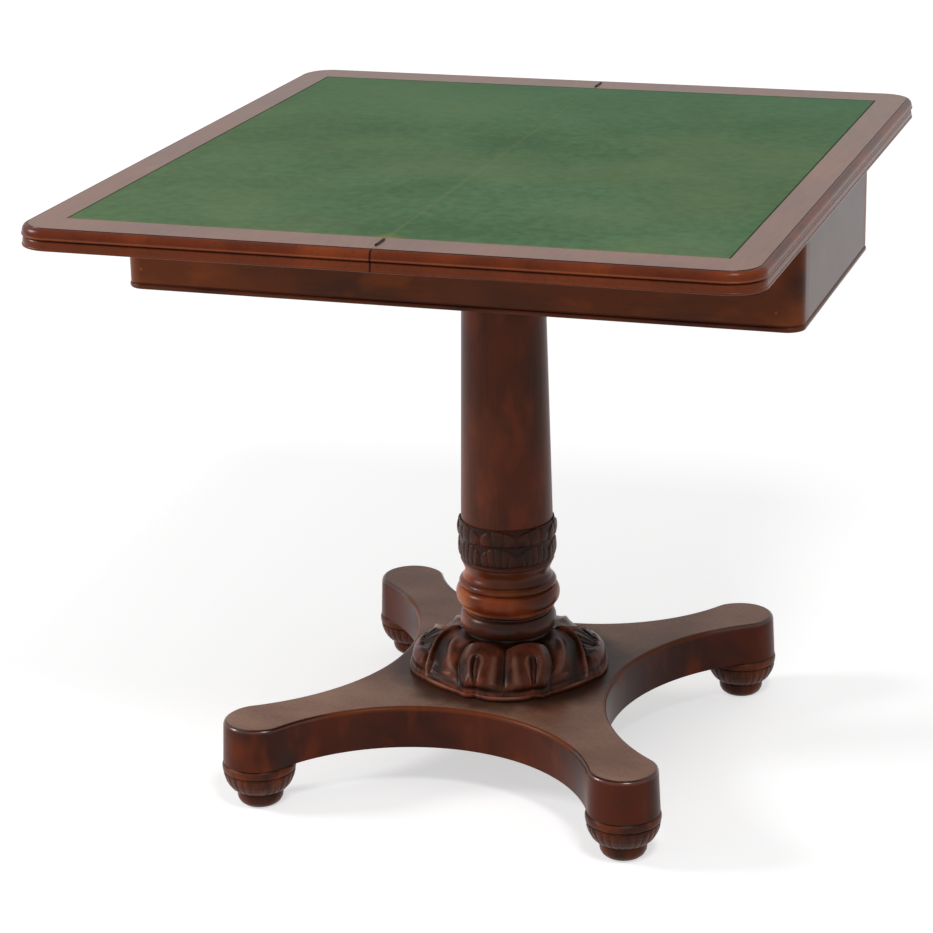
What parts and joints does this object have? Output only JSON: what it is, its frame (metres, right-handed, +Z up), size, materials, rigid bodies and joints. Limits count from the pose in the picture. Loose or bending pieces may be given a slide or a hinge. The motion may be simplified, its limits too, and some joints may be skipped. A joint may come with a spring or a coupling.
{
  "type": "fold over card table",
  "caption": "Card table whose hinged, baize-lined leaves fold over and swivel on a frieze box with a card well, on a turned column, petal collar and concave-sided platform with bun feet.",
  "frame": {"origin": "on the floor, under the middle of the open top and of the column", "axes": "+Z up; +X along the frieze and across the fold, towards the fixed leaf; +Y along the fold, to the back"},
  "size_m": [0.8108, 0.9066, 0.7419],
  "materials": {
    "top_veneer": "French polished mahogany crossbanding, gloss",
    "red_mahogany": "French polished red mahogany, gloss",
    "dark_mahogany": "French polished dark mahogany, gloss",
    "bare_pine": "bare aged pine, matt",
    "green_baize": "worn woollen baize, matt",
    "hinge_brass": "darkened brass",
    "forged_iron": "dark iron, dull"
  },
  "bodies": {
    "stand": {"front_rail": "dark_mahogany", "back_rail": "dark_mahogany", "left_rail": "dark_mahogany", "right_rail": "dark_mahogany", "front_left_post": "dark_mahogany", "front_right_post": "dark_mahogany", "back_left_post": "dark_mahogany", "back_right_post": "dark_mahogany", "front_bead": "red_mahogany", "right_bead": "red_mahogany", "back_bead": "red_mahogany", "left_bead": "red_mahogany", "well_board": "bare_pine", "well_divider": "bare_pine", "pivot_rail": "bare_pine", "column_bearer": "bare_pine", "front_left_glue_block": "bare_pine", "front_right_glue_block": "bare_pine", "back_left_glue_block": "bare_pine", "back_right_glue_block": "bare_pine", "column_shaft": "dark_mahogany", "column_leaf_cuff": "dark_mahogany", "column_foot": "red_mahogany", "petal_collar": "red_mahogany", "tie_bolt": "forged_iron", "tie_bolt_washer": "forged_iron", "tie_bolt_nut": "forged_iron", "platform": "dark_mahogany", "front_left_foot": "red_mahogany", "front_right_foot": "red_mahogany", "back_right_foot": "red_mahogany", "back_left_foot": "red_mahogany"},
    "top": {"base_leaf_board": "top_veneer", "base_leaf_reeded_edge": "red_mahogany", "base_leaf_baize": "green_baize", "front_hinge_base_plate": "hinge_brass", "front_hinge_pin": "hinge_brass", "front_hinge_base_screw_1": "hinge_brass", "front_hinge_base_screw_2": "hinge_brass", "back_hinge_base_plate": "hinge_brass", "back_hinge_pin": "hinge_brass", "back_hinge_base_screw_1": "hinge_brass", "back_hinge_base_screw_2": "hinge_brass", "pivot_spindle": "forged_iron", "pivot_screw_1": "forged_iron", "pivot_screw_2": "forged_iron", "pivot_screw_3": "forged_iron", "pivot_screw_4": "forged_iron", "pivot_washer": "forged_iron", "pivot_nut": "forged_iron"},
    "flap": {"flap_leaf_board": "top_veneer", "flap_leaf_reeded_edge": "red_mahogany", "flap_leaf_baize": "green_baize", "front_hinge_flap_plate": "hinge_brass", "front_hinge_flap_screw_1": "hinge_brass", "front_hinge_flap_screw_2": "hinge_brass", "back_hinge_flap_plate": "hinge_brass", "back_hinge_flap_screw_1": "hinge_brass", "back_hinge_flap_screw_2": "hinge_brass"}
  },
  "joints": [
    {"name": "top_swivel", "type": "hinge", "parent": "stand", "child": "top", "pos_m": [0.10135, 0.10135, 0.7163], "axis": [0, 0, 1], "range_deg": [-90, 0]},
    {"name": "leaf_fold", "type": "hinge", "parent": "top", "child": "flap", "pos_m": [0, 0, 0.7403], "axis": [0, 1, 0], "range_deg": [0, 180]}
  ]
}
